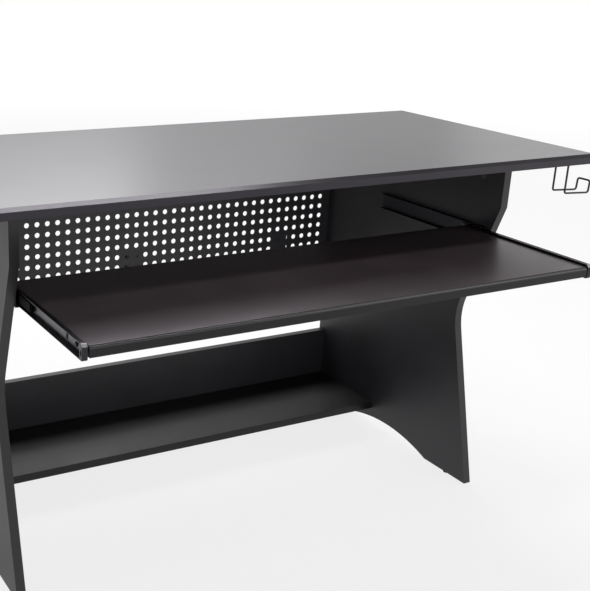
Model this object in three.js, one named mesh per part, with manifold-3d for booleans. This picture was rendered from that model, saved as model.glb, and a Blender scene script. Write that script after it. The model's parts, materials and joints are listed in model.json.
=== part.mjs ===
// A studio desk: melamine-faced boards, a perforated steel back panel, a keyboard tray
// on two ball slides, pulled out, and a wire hook for headphones under the right overhang.
// Millimetres, +X to the right, +Y to the back, +Z up. The origin is on the floor, under
// the middle of the whole desk with its tray pulled out.
import * as THREE from 'three';
import { mergeVertices } from 'three/addons/utils/BufferGeometryUtils.js';
import Module from 'manifold-3d';

const wasm = await Module();
wasm.setup();

// Clearances
const seatGap = 0.3; // between pieces that rest on each other, and round pieces in bores
const overrun = 1; // how far a cutting shape runs past the face that it opens
const weldTolerance = 0.0001;

// Boards
const deskHeight = 750;
const desktopWidth = 1560;
const desktopDepth = 650;
const desktopThickness = 20;
const desktopBevelHeight = 6;
const desktopBevelDepth = 9.5;
const frontOverhang = 10; // desktop past the front edges of the side panels
const boardThickness = 18;
const innerWidth = 1060; // between the side panels
const panelDepth = 593;

// Side panel outline
const upperFrontLength = 79; // straight front edge under the desktop
const kneeSetback = 98; // how far the knee lies behind the front edge
const kneeHeight = 339; // from the desktop down to the knee
const kneeRadius = 130;
const toeSetback = 1;
const archRadius = 437;
const archRise = 31; // top of the arch over the floor
const archSetback = 303; // middle of the arch from the rear edge
const archSteps = 10;

// Foot glides
const glideHeight = 4;
const glideDiameter = 16;
const glideSides = 12;

// Perforated back panel
const sheetThickness = 1.5;
const holePitch = 25;
const holeDiameter = 12;
const holeRows = 13;
const holeMargin = 29; // outermost row from the upper and lower edges
const holeSideMargin = 24; // least distance of a hole's middle from a side panel
const holeSides = 4; // sides of each cut, which has the area of the round hole
const sheetScrewMargin = 25;

// Plates bolted behind the perforated panel
const plateWidth = 48;
const plateHeight = 78;
const plateThickness = 2;
const plateCornerRadius = 13;
const plateTopHeight = 60.3; // over the middle of the lowest row of holes
const plateLeftOffset = 42; // middle of the left plate, left of the desk's middle
const plateRightOffset = 148; // middle of the right plate from the right side panel
const boltHeadDiameter = 17;
const boltHeadHeight = 2.5;
const boltDiameter = 5;

// Stretcher and lower shelf
const stretcherTop = 188;
const stretcherInset = 5; // from the rear edges of the side panels
const shelfTop = 67;
const shelfDepth = 220;

// Keyboard tray
const trayTop = 135; // from the desktop down to the tray
const trayThickness = 19;
const trayDepth = 342;
const trayTravel = 250;
const trayProud = 3.5; // tray front past the side panels when it is pushed in
const trayBevelHeight = 5;
const trayBevelDepth = 2.5;

// Ball slides
const slideOverhang = 8.5; // inner member past the rear edge of the tray
const slideThickness = 12.7;
const slideOuterHeight = 35;
const slideSteel = 1.2;
const slideOuterFlange = 11;
const slideOuterInset = 26; // behind the front edges of the side panels
const slideInnerInset = 0.5; // behind the front of the tray
const trackWidth = 2.8; // ball track in each flange of the inner member
const trackSlope = 1;
const trackDepth = 0.8;
const trackOffset = 7; // middle of the track from the side panel
const bossDiameter = 16;
const bossHeight = 2.6;
const bossSides = 12;
const webSlotWidth = 3;
const webSlotHeight = 18;
const webSlotOffset = 73; // from the front of the tray
const stopLength = 50;
const stopHeight = 16;
const stopDepth = 6.6;
const stopOffset = 7; // ahead of the outer member, with the tray out
const cageSteel = 0.6;
const cageWidth = 7;
const cageClearance = 0.7; // over the flanges of the inner member
const cageOffset = 5; // from either end of the length where the two members overlap
const ballDiameter = 3;
const ballSpacing = 20;
const ballSides = 6;
const ballRings = 4;

// Screws
const screwSides = 6;
const screwDiameter = 4;
const screwTip = 2;
const slideScrewHeadDiameter = 7.2;
const slideScrewHeadHeight = 0.8;
const slideScrewLength = 12;
const slideScrewMargin = 37;
const trayScrewHeadDiameter = 8;
const trayScrewHeadHeight = 2;
const trayScrewLength = 20;
const trayScrewMargin = 40;
const sheetScrewHeadDiameter = 8;
const sheetScrewHeadHeight = 2.2;
const sheetScrewLength = 25;

// Cam fittings and dowels
const camDiameter = 15;
const camDepth = 12;
const camSetback = 20; // disc centre from the edge of its board
const camSides = 12;
const camBoltDiameter = 6;
const camBoltHeadDiameter = 7.4;
const camBoltHeadLength = 4;
const camBoltReach = 11; // into the joined board
const camBoltSides = 8;
const camEdgeOffset = 61; // from the front and rear edges of the side panel
const shelfFittingOffset = 50; // from the front and rear edges of the shelf
const stretcherFittingRise = 35; // cam over and dowel under the middle of the stretcher
const dowelDiameter = 8;
const dowelLength = 24;
const dowelSides = 8;

// Headphone hook
const wireDiameter = 3.6;
const wireSides = 6;
const wireBoreSides = 12;
const wireSteps = 90;
const hookLegOffset = 39; // legs from the middle of the right overhang, towards its end
const hookFrontInset = 4; // front leg behind the front edge of the desktop
const hookSpacing = 33; // from leg to leg
const hookBarHeight = 60.5; // from the desktop down to the bars
const hookBarDrop = 4;
const hookReach = 71;
const hookLipRise = 26;
const hookLipLean = 2.5;
const hookBend = 5;
const hookInsertion = 12; // ends of the wire in the desktop

// Places worked out from the sizes above
const underside = deskHeight - desktopThickness;
const panelTop = underside - seatGap;
const innerHalf = innerWidth / 2;
const edgeMiddle = innerHalf + boardThickness / 2;
const outerHalf = innerHalf + boardThickness;
const trayReach = panelDepth + trayProud + trayTravel;
const desktopReach = desktopDepth - frontOverhang - panelDepth;
const rearPlane = (trayReach - desktopReach) / 2;
const panelFront = rearPlane - panelDepth;
const desktopFront = panelFront - frontOverhang;
const trayFront = rearPlane - trayReach;
const shelfBottom = shelfTop - boardThickness;
const stretcherRear = rearPlane - stretcherInset;
const stretcherFront = stretcherRear - boardThickness;
const stretcherMiddle = (stretcherTop + shelfBottom) / 2;
const shelfRear = stretcherFront - seatGap;
const shelfFront = shelfRear - shelfDepth;
const boardHalf = innerHalf - seatGap;
const trayTopPlane = underside - trayTop;
const slideMiddle = trayTopPlane - trayThickness / 2;
const slideLength = trayDepth - slideInnerInset + slideOverhang;
const slideOuterFront = panelFront + slideOuterInset;
const slideInnerFront = trayFront + slideInnerInset;
const trayHalf = innerHalf - slideThickness - bossHeight - seatGap;
const cageLength = slideInnerFront + slideLength - slideOuterFront - cageOffset * 2;
const ballsPerTrack = Math.floor(cageLength / ballSpacing);
const holeColumns = Math.floor((innerHalf - holeSideMargin) / holePitch) * 2 + 1;
const sheetHeight = (holeRows - 1) * holePitch + holeMargin * 2;
const lowestRow = panelTop - holeMargin - (holeRows - 1) * holePitch;
const sheetFront = rearPlane + seatGap;
const sheetRear = sheetFront + sheetThickness;
const plateFront = sheetRear + seatGap;
const plateRear = plateFront + plateThickness;

// Distances from a side panel to the layers of a slide
const outerWebStart = seatGap;
const outerWebEnd = outerWebStart + slideSteel;
const headStart = outerWebEnd + seatGap;
const cageStart = headStart + slideScrewHeadHeight + seatGap;
const cageEnd = cageStart + cageSteel;
const innerLipStart = cageEnd + seatGap;
const innerWebStart = slideThickness - slideSteel;
const outerRise = slideOuterHeight / 2;
const innerRise = outerRise - slideSteel - seatGap * 2 - ballDiameter + trackDepth;
const cageRise = innerRise + cageClearance;
const ballRise = (innerRise - trackDepth + outerRise - slideSteel) / 2;

// Finishes
function coat(color, roughness, metalness) {
  return new THREE.MeshStandardMaterial({ color, roughness, metalness });
}

const finish = {
  desktop: () => coat(0x242327, 0.35, 0),
  panel: () => coat(0x232326, 0.45, 0),
  paintedSteel: () => coat(0x1f1f22, 0.5, 0),
  slideSteel: () => coat(0x2b2b2e, 0.4, 1),
  zinc: () => coat(0xb9bcc2, 0.35, 1),
  nickel: () => coat(0xc4c2bd, 0.3, 1),
  plastic: () => coat(0x17171a, 0.5, 0),
  beech: () => coat(0xc9a36f, 0.7, 0),
};

const axisX = new THREE.Vector3(1, 0, 0);
const axisY = new THREE.Vector3(0, 1, 0);
const axisZ = new THREE.Vector3(0, 0, 1);
const point = (x, y, z) => new THREE.Vector3(x, y, z);

// A closed geometry as a solid that can be joined and cut
function toSolid(geometry) {
  const bare = geometry.clone();
  for (const attribute of ['normal', 'uv']) {
    bare.deleteAttribute(attribute);
  }
  const merged = mergeVertices(bare, weldTolerance);
  const vertProperties = new Float32Array(merged.attributes.position.array);
  const triVerts = Uint32Array.from(merged.index.array);
  return new wasm.Manifold(new wasm.Mesh({ numProp: 3, vertProperties, triVerts }));
}

function toGeometry(solid) {
  const mesh = solid.getMesh();
  const geometry = new THREE.BufferGeometry();
  geometry.setAttribute('position', new THREE.BufferAttribute(new Float32Array(mesh.vertProperties), 3));
  geometry.setIndex(new THREE.BufferAttribute(new Uint32Array(mesh.triVerts), 1));
  geometry.computeVertexNormals();
  return geometry;
}

function cut(geometry, cutters) {
  return toGeometry(wasm.Manifold.difference([geometry, ...cutters].map(toSolid)));
}

function join(geometries) {
  return toGeometry(wasm.Manifold.union(geometries.map(toSolid)));
}

// A box between two corners
function block(low, high) {
  const size = high.clone().sub(low);
  const middle = high.clone().add(low).multiplyScalar(1 / 2);
  return new THREE.BoxGeometry(size.x, size.y, size.z).translate(middle.x, middle.y, middle.z);
}

// A box between two distances from the middle of the desk, on one side of it
function blockAcross(side, far, near, front, rear, middle, height) {
  const ends = [side * near, side * far];
  return block(
    point(Math.min(...ends), front, middle - height / 2),
    point(Math.max(...ends), rear, middle + height / 2),
  );
}

// A round bar from a start point along an axis
function rod(start, axis, length, diameter, sides) {
  const shape = new THREE.CylinderGeometry(diameter / 2, diameter / 2, length, sides);
  shape.translate(0, length / 2, 0);
  shape.applyQuaternion(new THREE.Quaternion().setFromUnitVectors(axisY, axis));
  return shape.translate(start.x, start.y, start.z);
}

// A headed screw: the seat is the underside of its head, and the shank runs along the axis
function screw(seat, axis, head, headHeight, diameter, length) {
  const profile = [
    [0, -headHeight], [head / 2, -headHeight], [head / 2, 0],
    [diameter / 2, 0], [diameter / 2, length - screwTip], [0, length],
  ];
  const shape = new THREE.LatheGeometry(profile.map(([x, y]) => new THREE.Vector2(x, y)), screwSides);
  shape.applyQuaternion(new THREE.Quaternion().setFromUnitVectors(axisY, axis));
  return shape.translate(seat.x, seat.y, seat.z);
}

// The bore that a screw needs, from ahead of its seat
function screwBore(seat, axis, diameter, length) {
  const start = seat.clone().addScaledVector(axis, -overrun);
  return rod(start, axis, length + overrun + seatGap, diameter + seatGap * 2, screwSides);
}

// A shape drawn in Y and Z, extruded along X between two planes
function extrudeAcross(shape, left, right) {
  const geometry = new THREE.ExtrudeGeometry(shape, {
    depth: right - left, bevelEnabled: false, curveSegments: archSteps,
  });
  geometry.applyMatrix4(new THREE.Matrix4().makeBasis(axisY, axisZ, axisX));
  return geometry.translate(left, 0, 0);
}

// A shape drawn in X and Z, extruded along Y between two planes
function extrudeDeep(shape, front, rear) {
  const geometry = new THREE.ExtrudeGeometry(shape, {
    depth: rear - front, bevelEnabled: false, curveSegments: archSteps,
  });
  geometry.applyMatrix4(new THREE.Matrix4().makeBasis(axisX, axisZ, axisY.clone().negate()));
  return geometry.translate(0, rear, 0);
}

function polygon(points) {
  return new THREE.Shape(points.map(([x, y]) => new THREE.Vector2(x, y)));
}

// A closed ring of straight sides, the first corner half a side past the X axis
function ringPath(x, z, radius, count) {
  const corners = [];
  for (let i = 0; i < count; i += 1) {
    const angle = (Math.PI * 2 * (i + 1 / 2)) / count;
    corners.push(new THREE.Vector2(x + radius * Math.cos(angle), z + radius * Math.sin(angle)));
  }
  return new THREE.Path(corners);
}

const desk = new THREE.Group();
const tray = new THREE.Group();
const cages = { left: new THREE.Group(), right: new THREE.Group() };
desk.add(tray, cages.left, cages.right);

function addPiece(parent, name, geometry, material) {
  const mesh = new THREE.Mesh(geometry, material);
  mesh.name = name;
  parent.add(mesh);
}

// Both sides of the desk: side is -1 on the left and 1 on the right
const sides = [['left', -1], ['right', 1]];
const cutters = { desktop: [], stretcher: [], shelf: [], left: [], right: [] };

// A cam disc in the face of one board, and its bolt into the next board.
// The disc lies at mouth, on the face that it opens, and faces along open; the bolt runs
// along reach, in the middle of the board.
function addCamJoint(joint, place, mouth, open, reach, ownCutters, otherCutters) {
  const inwards = open.clone().negate();
  const pocketStart = mouth.clone().addScaledVector(open, overrun);
  const pocketDepth = overrun + camDepth + seatGap;
  ownCutters.push(rod(pocketStart, inwards, pocketDepth, camDiameter + seatGap * 2, camSides));
  const discStart = mouth.clone().addScaledVector(inwards, seatGap);
  const disc = rod(discStart, inwards, camDepth - seatGap, camDiameter, camSides);
  const axisPoint = mouth.clone().addScaledVector(inwards, boardThickness / 2);
  const boltBore = (length) => rod(axisPoint, reach, length, camBoltHeadDiameter + seatGap * 2, camBoltSides);
  ownCutters.push(boltBore(camSetback + overrun));
  addPiece(desk, `${joint}_cam_disc_${place}`, cut(disc, [boltBore(camDiameter)]), finish.zinc());

  const socket = axisPoint.clone().addScaledVector(reach, camSetback - overrun);
  const socketDepth = overrun + camBoltReach + seatGap * 2;
  otherCutters.push(rod(socket, reach, socketDepth, camBoltDiameter + seatGap * 2, camBoltSides));
  const headStart = axisPoint.clone().addScaledVector(reach, seatGap);
  const head = rod(headStart, reach, camBoltHeadLength, camBoltHeadDiameter, camBoltSides);
  const shank = rod(headStart, reach, camSetback + camBoltReach, camBoltDiameter, camBoltSides);
  addPiece(desk, `${joint}_cam_bolt_${place}`, join([head, shank]), finish.nickel());
}

// A dowel across a joint between two boards, and its two bores
function addDowel(name, centre, axis, ownCutters, otherCutters) {
  const boreStart = centre.clone().addScaledVector(axis, -dowelLength / 2 - seatGap);
  for (const list of [ownCutters, otherCutters]) {
    list.push(rod(boreStart, axis, dowelLength + seatGap * 2, dowelDiameter + seatGap * 2, dowelSides));
  }
  const start = centre.clone().addScaledVector(axis, -dowelLength / 2);
  addPiece(desk, name, rod(start, axis, dowelLength, dowelDiameter, dowelSides), finish.beech());
}

// The cam joints at the top of each side panel, with a dowel between them
function makeDesktopFittings() {
  const ends = [['front', panelFront + camEdgeOffset], ['rear', rearPlane - camEdgeOffset]];
  for (const [name, side] of sides) {
    const open = axisX.clone().multiplyScalar(-side);
    for (const [end, y] of ends) {
      const mouth = point(side * innerHalf, y, panelTop - camSetback);
      addCamJoint('desktop', `${end}_${name}`, mouth, open, axisZ, cutters[name], cutters.desktop);
    }
    const middle = point(side * edgeMiddle, (panelFront + rearPlane) / 2, panelTop);
    addDowel(`desktop_dowel_${name}`, middle, axisZ, cutters[name], cutters.desktop);
  }
}

// The cam joint and the dowel at each end of the stretcher and of the shelf
function makeLowerFittings() {
  const down = axisZ.clone().negate();
  for (const [name, side] of sides) {
    const outwards = axisX.clone().multiplyScalar(side);
    const discX = side * (boardHalf - camSetback);
    const upper = point(discX, stretcherRear, stretcherMiddle + stretcherFittingRise);
    addCamJoint('stretcher', name, upper, axisY, outwards, cutters.stretcher, cutters[name]);
    const stretcherCentre = (stretcherFront + stretcherRear) / 2;
    const lower = point(side * boardHalf, stretcherCentre, stretcherMiddle - stretcherFittingRise);
    addDowel(`stretcher_dowel_${name}`, lower, outwards, cutters.stretcher, cutters[name]);
    const front = point(discX, shelfFront + shelfFittingOffset, shelfBottom);
    addCamJoint('shelf', name, front, down, outwards, cutters.shelf, cutters[name]);
    const rear = point(side * boardHalf, shelfRear - shelfFittingOffset, shelfTop - boardThickness / 2);
    addDowel(`shelf_dowel_${name}`, rear, outwards, cutters.shelf, cutters[name]);
  }
}

// The outline of a side panel, in Y and Z: a knee in front and an arch between the feet
function sidePanelShape() {
  const slantTop = point(panelFront, panelTop - upperFrontLength, 0);
  const knee = point(panelFront + kneeSetback, underside - kneeHeight, 0);
  const toe = point(panelFront + toeSetback, glideHeight, 0);
  const upper = slantTop.clone().sub(knee).normalize();
  const lower = toe.clone().sub(knee).normalize();
  const kneeLength = kneeRadius / Math.tan(upper.angleTo(lower) / 2);
  const kneeStart = knee.clone().addScaledVector(upper, kneeLength);
  const kneeEnd = knee.clone().addScaledVector(lower, kneeLength);
  const archMiddle = rearPlane - archSetback;
  const archCentre = archRise - archRadius;
  const archAngle = Math.asin((glideHeight - archCentre) / archRadius);
  const shape = new THREE.Shape();
  shape.moveTo(rearPlane, glideHeight);
  shape.lineTo(rearPlane, panelTop);
  shape.lineTo(panelFront, panelTop);
  shape.lineTo(slantTop.x, slantTop.y);
  shape.lineTo(kneeStart.x, kneeStart.y);
  shape.quadraticCurveTo(knee.x, knee.y, kneeEnd.x, kneeEnd.y);
  shape.lineTo(toe.x, toe.y);
  shape.absarc(archMiddle, archCentre, archRadius, Math.PI - archAngle, archAngle, true);
  return shape;
}

function makeGlides() {
  const halfChord = Math.sqrt(archRadius ** 2 - (archRadius - archRise + glideHeight) ** 2);
  const frontFoot = (panelFront + toeSetback + rearPlane - archSetback - halfChord) / 2;
  const rearFoot = (rearPlane + rearPlane - archSetback + halfChord) / 2;
  for (const [name, side] of sides) {
    for (const [end, y] of [['front', frontFoot], ['rear', rearFoot]]) {
      const start = point(side * edgeMiddle, y, 0);
      const glide = rod(start, axisZ, glideHeight - seatGap, glideDiameter, glideSides);
      addPiece(desk, `foot_glide_${end}_${name}`, glide, finish.plastic());
    }
  }
}

// The perforated sheet, screwed on the rear edges of the side panels
function makeSheet() {
  const bottom = panelTop - sheetHeight;
  const sideAngle = (Math.PI * 2) / holeSides;
  const cutDiameter = holeDiameter * Math.sqrt(sideAngle / Math.sin(sideAngle));
  const hole = (x, z, diameter, count) => {
    const start = point(x, sheetFront - overrun, z);
    return rod(start, axisY, sheetThickness + overrun * 2, diameter, count);
  };
  const holes = [];
  for (let column = 0; column < holeColumns; column += 1) {
    for (let row = 0; row < holeRows; row += 1) {
      const x = (column - (holeColumns - 1) / 2) * holePitch;
      const z = panelTop - holeMargin - row * holePitch;
      holes.push(hole(x, z, cutDiameter, holeSides));
    }
  }
  const forwards = axisY.clone().negate();
  const heights = [['upper', panelTop - sheetScrewMargin], ['lower', bottom + sheetScrewMargin]];
  for (const [name, side] of sides) {
    for (const [level, z] of heights) {
      const seat = point(side * edgeMiddle, sheetRear + seatGap, z);
      const sizes = [sheetScrewHeadDiameter, sheetScrewHeadHeight, screwDiameter, sheetScrewLength];
      addPiece(desk, `sheet_screw_${level}_${name}`, screw(seat, forwards, ...sizes), finish.nickel());
      cutters[name].push(screwBore(seat, forwards, screwDiameter, sheetScrewLength));
      holes.push(hole(side * edgeMiddle, z, screwDiameter + seatGap * 2, screwSides));
    }
  }
  const sheet = block(point(-outerHalf, sheetFront, bottom), point(outerHalf, sheetRear, panelTop));
  addPiece(desk, 'perforated_panel', cut(sheet, holes), finish.paintedSteel());
}

// A plate with rounded upper corners behind the perforated sheet, and its bolt through
// the nearest hole of the lowest row
function makeRearPlate(name, middle) {
  const low = middle - plateWidth / 2;
  const high = middle + plateWidth / 2;
  const top = lowestRow + plateTopHeight;
  const bottom = top - plateHeight;
  const cornerHeight = top - plateCornerRadius;
  const shape = new THREE.Shape();
  shape.moveTo(low, bottom);
  shape.lineTo(high, bottom);
  shape.absarc(high - plateCornerRadius, cornerHeight, plateCornerRadius, 0, Math.PI / 2, false);
  shape.absarc(low + plateCornerRadius, cornerHeight, plateCornerRadius, Math.PI / 2, Math.PI, false);
  const seat = point(Math.round(middle / holePitch) * holePitch, sheetFront - seatGap, lowestRow);
  const length = plateRear + screwTip - seat.y;
  const bolt = screw(seat, axisY, boltHeadDiameter, boltHeadHeight, boltDiameter, length);
  addPiece(desk, `rear_plate_bolt_${name}`, bolt, finish.plastic());
  const bore = screwBore(seat, axisY, boltDiameter, length);
  const plate = cut(extrudeDeep(shape, plateFront, plateRear), [bore]);
  addPiece(desk, `rear_plate_${name}`, plate, finish.paintedSteel());
}

// A channel with its web towards start and its flanges reaching to end, from a side panel
function outerProfile(side) {
  const z0 = slideMiddle - outerRise;
  const z1 = slideMiddle + outerRise;
  const place = (s, z) => [side * (innerHalf - s), z];
  return polygon([
    place(outerWebStart, z0), place(slideOuterFlange, z0), place(slideOuterFlange, z0 + slideSteel),
    place(outerWebEnd, z0 + slideSteel), place(outerWebEnd, z1 - slideSteel),
    place(slideOuterFlange, z1 - slideSteel), place(slideOuterFlange, z1), place(outerWebStart, z1),
  ]);
}

// The inner channel, open towards the side panel, with a ball track along each flange
function innerProfile(side) {
  const groove = trackWidth / 2;
  const upper = [
    [slideThickness, innerRise], [trackOffset + groove + trackSlope, innerRise],
    [trackOffset + groove, innerRise - trackDepth], [trackOffset - groove, innerRise - trackDepth],
    [trackOffset - groove - trackSlope, innerRise], [innerLipStart, innerRise],
    [innerLipStart, innerRise - slideSteel], [trackOffset - groove - trackSlope, innerRise - slideSteel],
    [trackOffset - groove, innerRise - slideSteel - trackDepth],
    [trackOffset + groove, innerRise - slideSteel - trackDepth],
    [trackOffset + groove + trackSlope, innerRise - slideSteel], [innerWebStart, innerRise - slideSteel],
  ];
  const lower = upper.map(([s, z]) => [s, -z]).reverse();
  return polygon([...upper, ...lower].map(([s, z]) => [side * (innerHalf - s), slideMiddle + z]));
}

function cageProfile(side) {
  const flangeEnd = cageStart + cageWidth;
  const points = [
    [cageStart, cageRise + cageSteel], [flangeEnd, cageRise + cageSteel], [flangeEnd, cageRise],
    [cageEnd, cageRise], [cageEnd, -cageRise], [flangeEnd, -cageRise],
    [flangeEnd, -cageRise - cageSteel], [cageStart, -cageRise - cageSteel],
  ];
  return polygon(points.map(([s, z]) => [side * (innerHalf - s), slideMiddle + z]));
}

const trayCutters = [];

// The outer member, screwed to the side panel
function makeSlideOuter(name, side) {
  const outwards = axisX.clone().multiplyScalar(side);
  const rear = slideOuterFront + slideLength;
  const bores = [];
  for (const [end, y] of [['front', slideOuterFront + slideScrewMargin], ['rear', rear - slideScrewMargin]]) {
    const seat = point(side * (innerHalf - headStart), y, slideMiddle);
    const sizes = [slideScrewHeadDiameter, slideScrewHeadHeight, screwDiameter, slideScrewLength];
    addPiece(desk, `slide_screw_${end}_${name}`, screw(seat, outwards, ...sizes), finish.zinc());
    bores.push(screwBore(seat, outwards, screwDiameter, slideScrewLength));
  }
  cutters[name].push(...bores);
  const channel = extrudeDeep(outerProfile(side), slideOuterFront, rear);
  addPiece(desk, `slide_outer_${name}`, cut(channel, bores), finish.slideSteel());
}

// The inner member, with bosses that stand against the edge of the tray and a slot near
// its front
function makeSlideInner(name, side) {
  const inwards = axisX.clone().multiplyScalar(-side);
  const bosses = [];
  const bores = [];
  const ends = [['front', trayFront + trayScrewMargin], ['rear', trayFront + trayDepth - trayScrewMargin]];
  for (const [end, y] of ends) {
    const bossStart = point(side * (innerHalf - innerWebStart), y, slideMiddle);
    bosses.push(rod(bossStart, inwards, slideSteel + bossHeight, bossDiameter, bossSides));
    const seat = point(side * (innerHalf - innerWebStart + seatGap), y, slideMiddle);
    const sizes = [trayScrewHeadDiameter, trayScrewHeadHeight, screwDiameter, trayScrewLength];
    addPiece(tray, `tray_screw_${end}_${name}`, screw(seat, inwards, ...sizes), finish.zinc());
    bores.push(screwBore(seat, inwards, screwDiameter, trayScrewLength));
  }
  trayCutters.push(...bores);
  const slotFront = trayFront + webSlotOffset;
  const webSlot = blockAcross(
    side, innerHalf - innerWebStart + overrun, innerHalf - slideThickness - overrun,
    slotFront, slotFront + webSlotWidth, slideMiddle, webSlotHeight,
  );
  const channel = extrudeDeep(innerProfile(side), slideInnerFront, slideInnerFront + slideLength);
  const member = cut(join([channel, ...bosses]), [...bores, webSlot]);
  addPiece(tray, `slide_inner_${name}`, member, finish.slideSteel());
}

// A plastic stop in the inner channel, just ahead of the outer member
function makeSlideStop(name, side) {
  const rear = slideOuterFront - stopOffset;
  const outer = innerHalf - innerWebStart + seatGap;
  const stop = blockAcross(side, outer + stopDepth, outer, rear - stopLength, rear, slideMiddle, stopHeight);
  addPiece(tray, `slide_stop_${name}`, stop, finish.plastic());
}

// The ball cage, which moves half as far as the tray, with its balls
function makeBallCage(name, side) {
  const front = slideOuterFront + cageOffset;
  const balls = [];
  for (let i = 0; i < ballsPerTrack; i += 1) {
    const y = front + cageLength / 2 + (i - (ballsPerTrack - 1) / 2) * ballSpacing;
    for (const up of [-1, 1]) {
      const ball = new THREE.SphereGeometry(ballDiameter / 2, ballSides, ballRings);
      balls.push(ball.translate(side * (innerHalf - trackOffset), y, slideMiddle + up * ballRise));
    }
  }
  const cage = extrudeDeep(cageProfile(side), front, front + cageLength);
  addPiece(cages[name], `ball_cage_${name}`, join([cage, ...balls]), finish.zinc());
}

// A board across the desk whose front edge is bevelled at the top
function bevelledBoard(half, front, depth, top, thickness, bevelDepth, bevelHeight) {
  const shape = polygon([
    [front, top - thickness], [front + depth, top - thickness], [front + depth, top],
    [front + bevelDepth, top], [front, top - bevelHeight],
  ]);
  return extrudeAcross(shape, -half, half);
}

// One bent wire, its two ends pushed into bores in the desktop: down, out, up, across,
// and the same way back
function makeHook() {
  const front = desktopFront + hookFrontInset;
  const rear = front + hookSpacing;
  const legX = (outerHalf + desktopWidth / 2) / 2 + hookLegOffset;
  const legTop = underside + hookInsertion;
  const lipX = legX + hookReach;
  const barStart = underside - hookBarHeight;
  const barEnd = barStart - hookBarDrop;
  const side = (y) => [
    point(legX, y, legTop), point(legX, y, barStart),
    point(lipX, y, barEnd), point(lipX + hookLipLean, y, barEnd + hookLipRise),
  ];
  const corners = [...side(rear), ...side(front).reverse()];
  const path = new THREE.CurvePath();
  let last = corners[0];
  for (let i = 1; i < corners.length - 1; i += 1) {
    const corner = corners[i];
    const before = corners[i - 1].clone().sub(corner).setLength(hookBend).add(corner);
    const after = corners[i + 1].clone().sub(corner).setLength(hookBend).add(corner);
    path.add(new THREE.LineCurve3(last, before));
    path.add(new THREE.QuadraticBezierCurve3(before, corner, after));
    last = after;
  }
  path.add(new THREE.LineCurve3(last, corners[corners.length - 1]));
  const section = new THREE.Shape(ringPath(0, 0, wireDiameter / 2, wireSides).getPoints());
  const sweep = { steps: wireSteps, bevelEnabled: false, extrudePath: path };
  const wire = new THREE.ExtrudeGeometry(section, sweep);
  addPiece(desk, 'headphone_hook', toGeometry(toSolid(wire)), finish.paintedSteel());

  const boreDepth = overrun + hookInsertion + seatGap;
  for (const y of [front, rear]) {
    const mouth = point(legX, y, underside - overrun);
    cutters.desktop.push(rod(mouth, axisZ, boreDepth, wireDiameter + seatGap * 2, wireBoreSides));
  }
}

makeDesktopFittings();
makeLowerFittings();
makeSheet();
makeRearPlate('left', -plateLeftOffset);
makeRearPlate('right', innerHalf - plateRightOffset);
makeGlides();
makeHook();
for (const [name, side] of sides) {
  makeSlideOuter(name, side);
  makeSlideInner(name, side);
  makeSlideStop(name, side);
  makeBallCage(name, side);
}

const desktopSizes = [desktopThickness, desktopBevelDepth, desktopBevelHeight];
const desktop = bevelledBoard(desktopWidth / 2, desktopFront, desktopDepth, deskHeight, ...desktopSizes);
addPiece(desk, 'desktop', cut(desktop, cutters.desktop), finish.desktop());

for (const [name, side] of sides) {
  const faces = [side * innerHalf, side * (innerHalf + boardThickness)];
  const panel = extrudeAcross(sidePanelShape(), Math.min(...faces), Math.max(...faces));
  addPiece(desk, `side_panel_${name}`, cut(panel, cutters[name]), finish.panel());
}

const stretcher = block(
  point(-boardHalf, stretcherFront, shelfBottom),
  point(boardHalf, stretcherRear, stretcherTop),
);
addPiece(desk, 'stretcher', cut(stretcher, cutters.stretcher), finish.panel());

const shelf = block(point(-boardHalf, shelfFront, shelfBottom), point(boardHalf, shelfRear, shelfTop));
addPiece(desk, 'lower_shelf', cut(shelf, cutters.shelf), finish.panel());

const traySizes = [trayThickness, trayBevelDepth, trayBevelHeight];
const trayBoard = bevelledBoard(trayHalf, trayFront, trayDepth, trayTopPlane, ...traySizes);
addPiece(tray, 'tray_board', cut(trayBoard, trayCutters), finish.desktop());

export default desk;
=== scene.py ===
import json
import math

import bpy
from mathutils import Matrix, Vector

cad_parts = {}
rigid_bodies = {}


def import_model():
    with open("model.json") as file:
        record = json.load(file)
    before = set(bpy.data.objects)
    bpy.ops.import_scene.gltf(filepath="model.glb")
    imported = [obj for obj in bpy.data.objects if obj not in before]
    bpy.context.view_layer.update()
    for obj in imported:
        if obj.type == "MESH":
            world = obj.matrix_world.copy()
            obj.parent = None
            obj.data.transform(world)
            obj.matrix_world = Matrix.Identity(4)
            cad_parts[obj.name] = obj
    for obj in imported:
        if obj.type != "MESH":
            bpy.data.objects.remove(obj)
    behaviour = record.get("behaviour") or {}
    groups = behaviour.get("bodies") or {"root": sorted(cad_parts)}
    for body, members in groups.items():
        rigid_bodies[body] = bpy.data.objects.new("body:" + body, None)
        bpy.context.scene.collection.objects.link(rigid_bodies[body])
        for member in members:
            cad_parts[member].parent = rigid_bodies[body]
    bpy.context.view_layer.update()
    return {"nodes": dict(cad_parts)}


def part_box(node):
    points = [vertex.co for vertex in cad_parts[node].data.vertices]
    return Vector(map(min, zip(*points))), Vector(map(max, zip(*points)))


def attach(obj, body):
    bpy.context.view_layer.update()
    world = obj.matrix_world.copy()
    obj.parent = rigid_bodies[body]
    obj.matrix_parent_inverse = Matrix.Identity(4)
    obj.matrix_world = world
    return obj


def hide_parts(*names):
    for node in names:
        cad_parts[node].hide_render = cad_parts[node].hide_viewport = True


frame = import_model()
mm = 0.001
tiny = 0.01 * mm  # corners that are this close lie on one plane
near = 0.1 * mm  # what is this close to a face or a rim belongs to it
overrun = 1 * mm  # how far a cutting shape runs past the face that it opens
facing = 0.9  # a face looks along an axis if its normal has more than this share of it
holeSides, screwSides, discSides = 24, 32, 40  # sides of the round shapes
turnedSmooth = 40  # small turned shapes are shaded smooth up to this angle, in degrees
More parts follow.
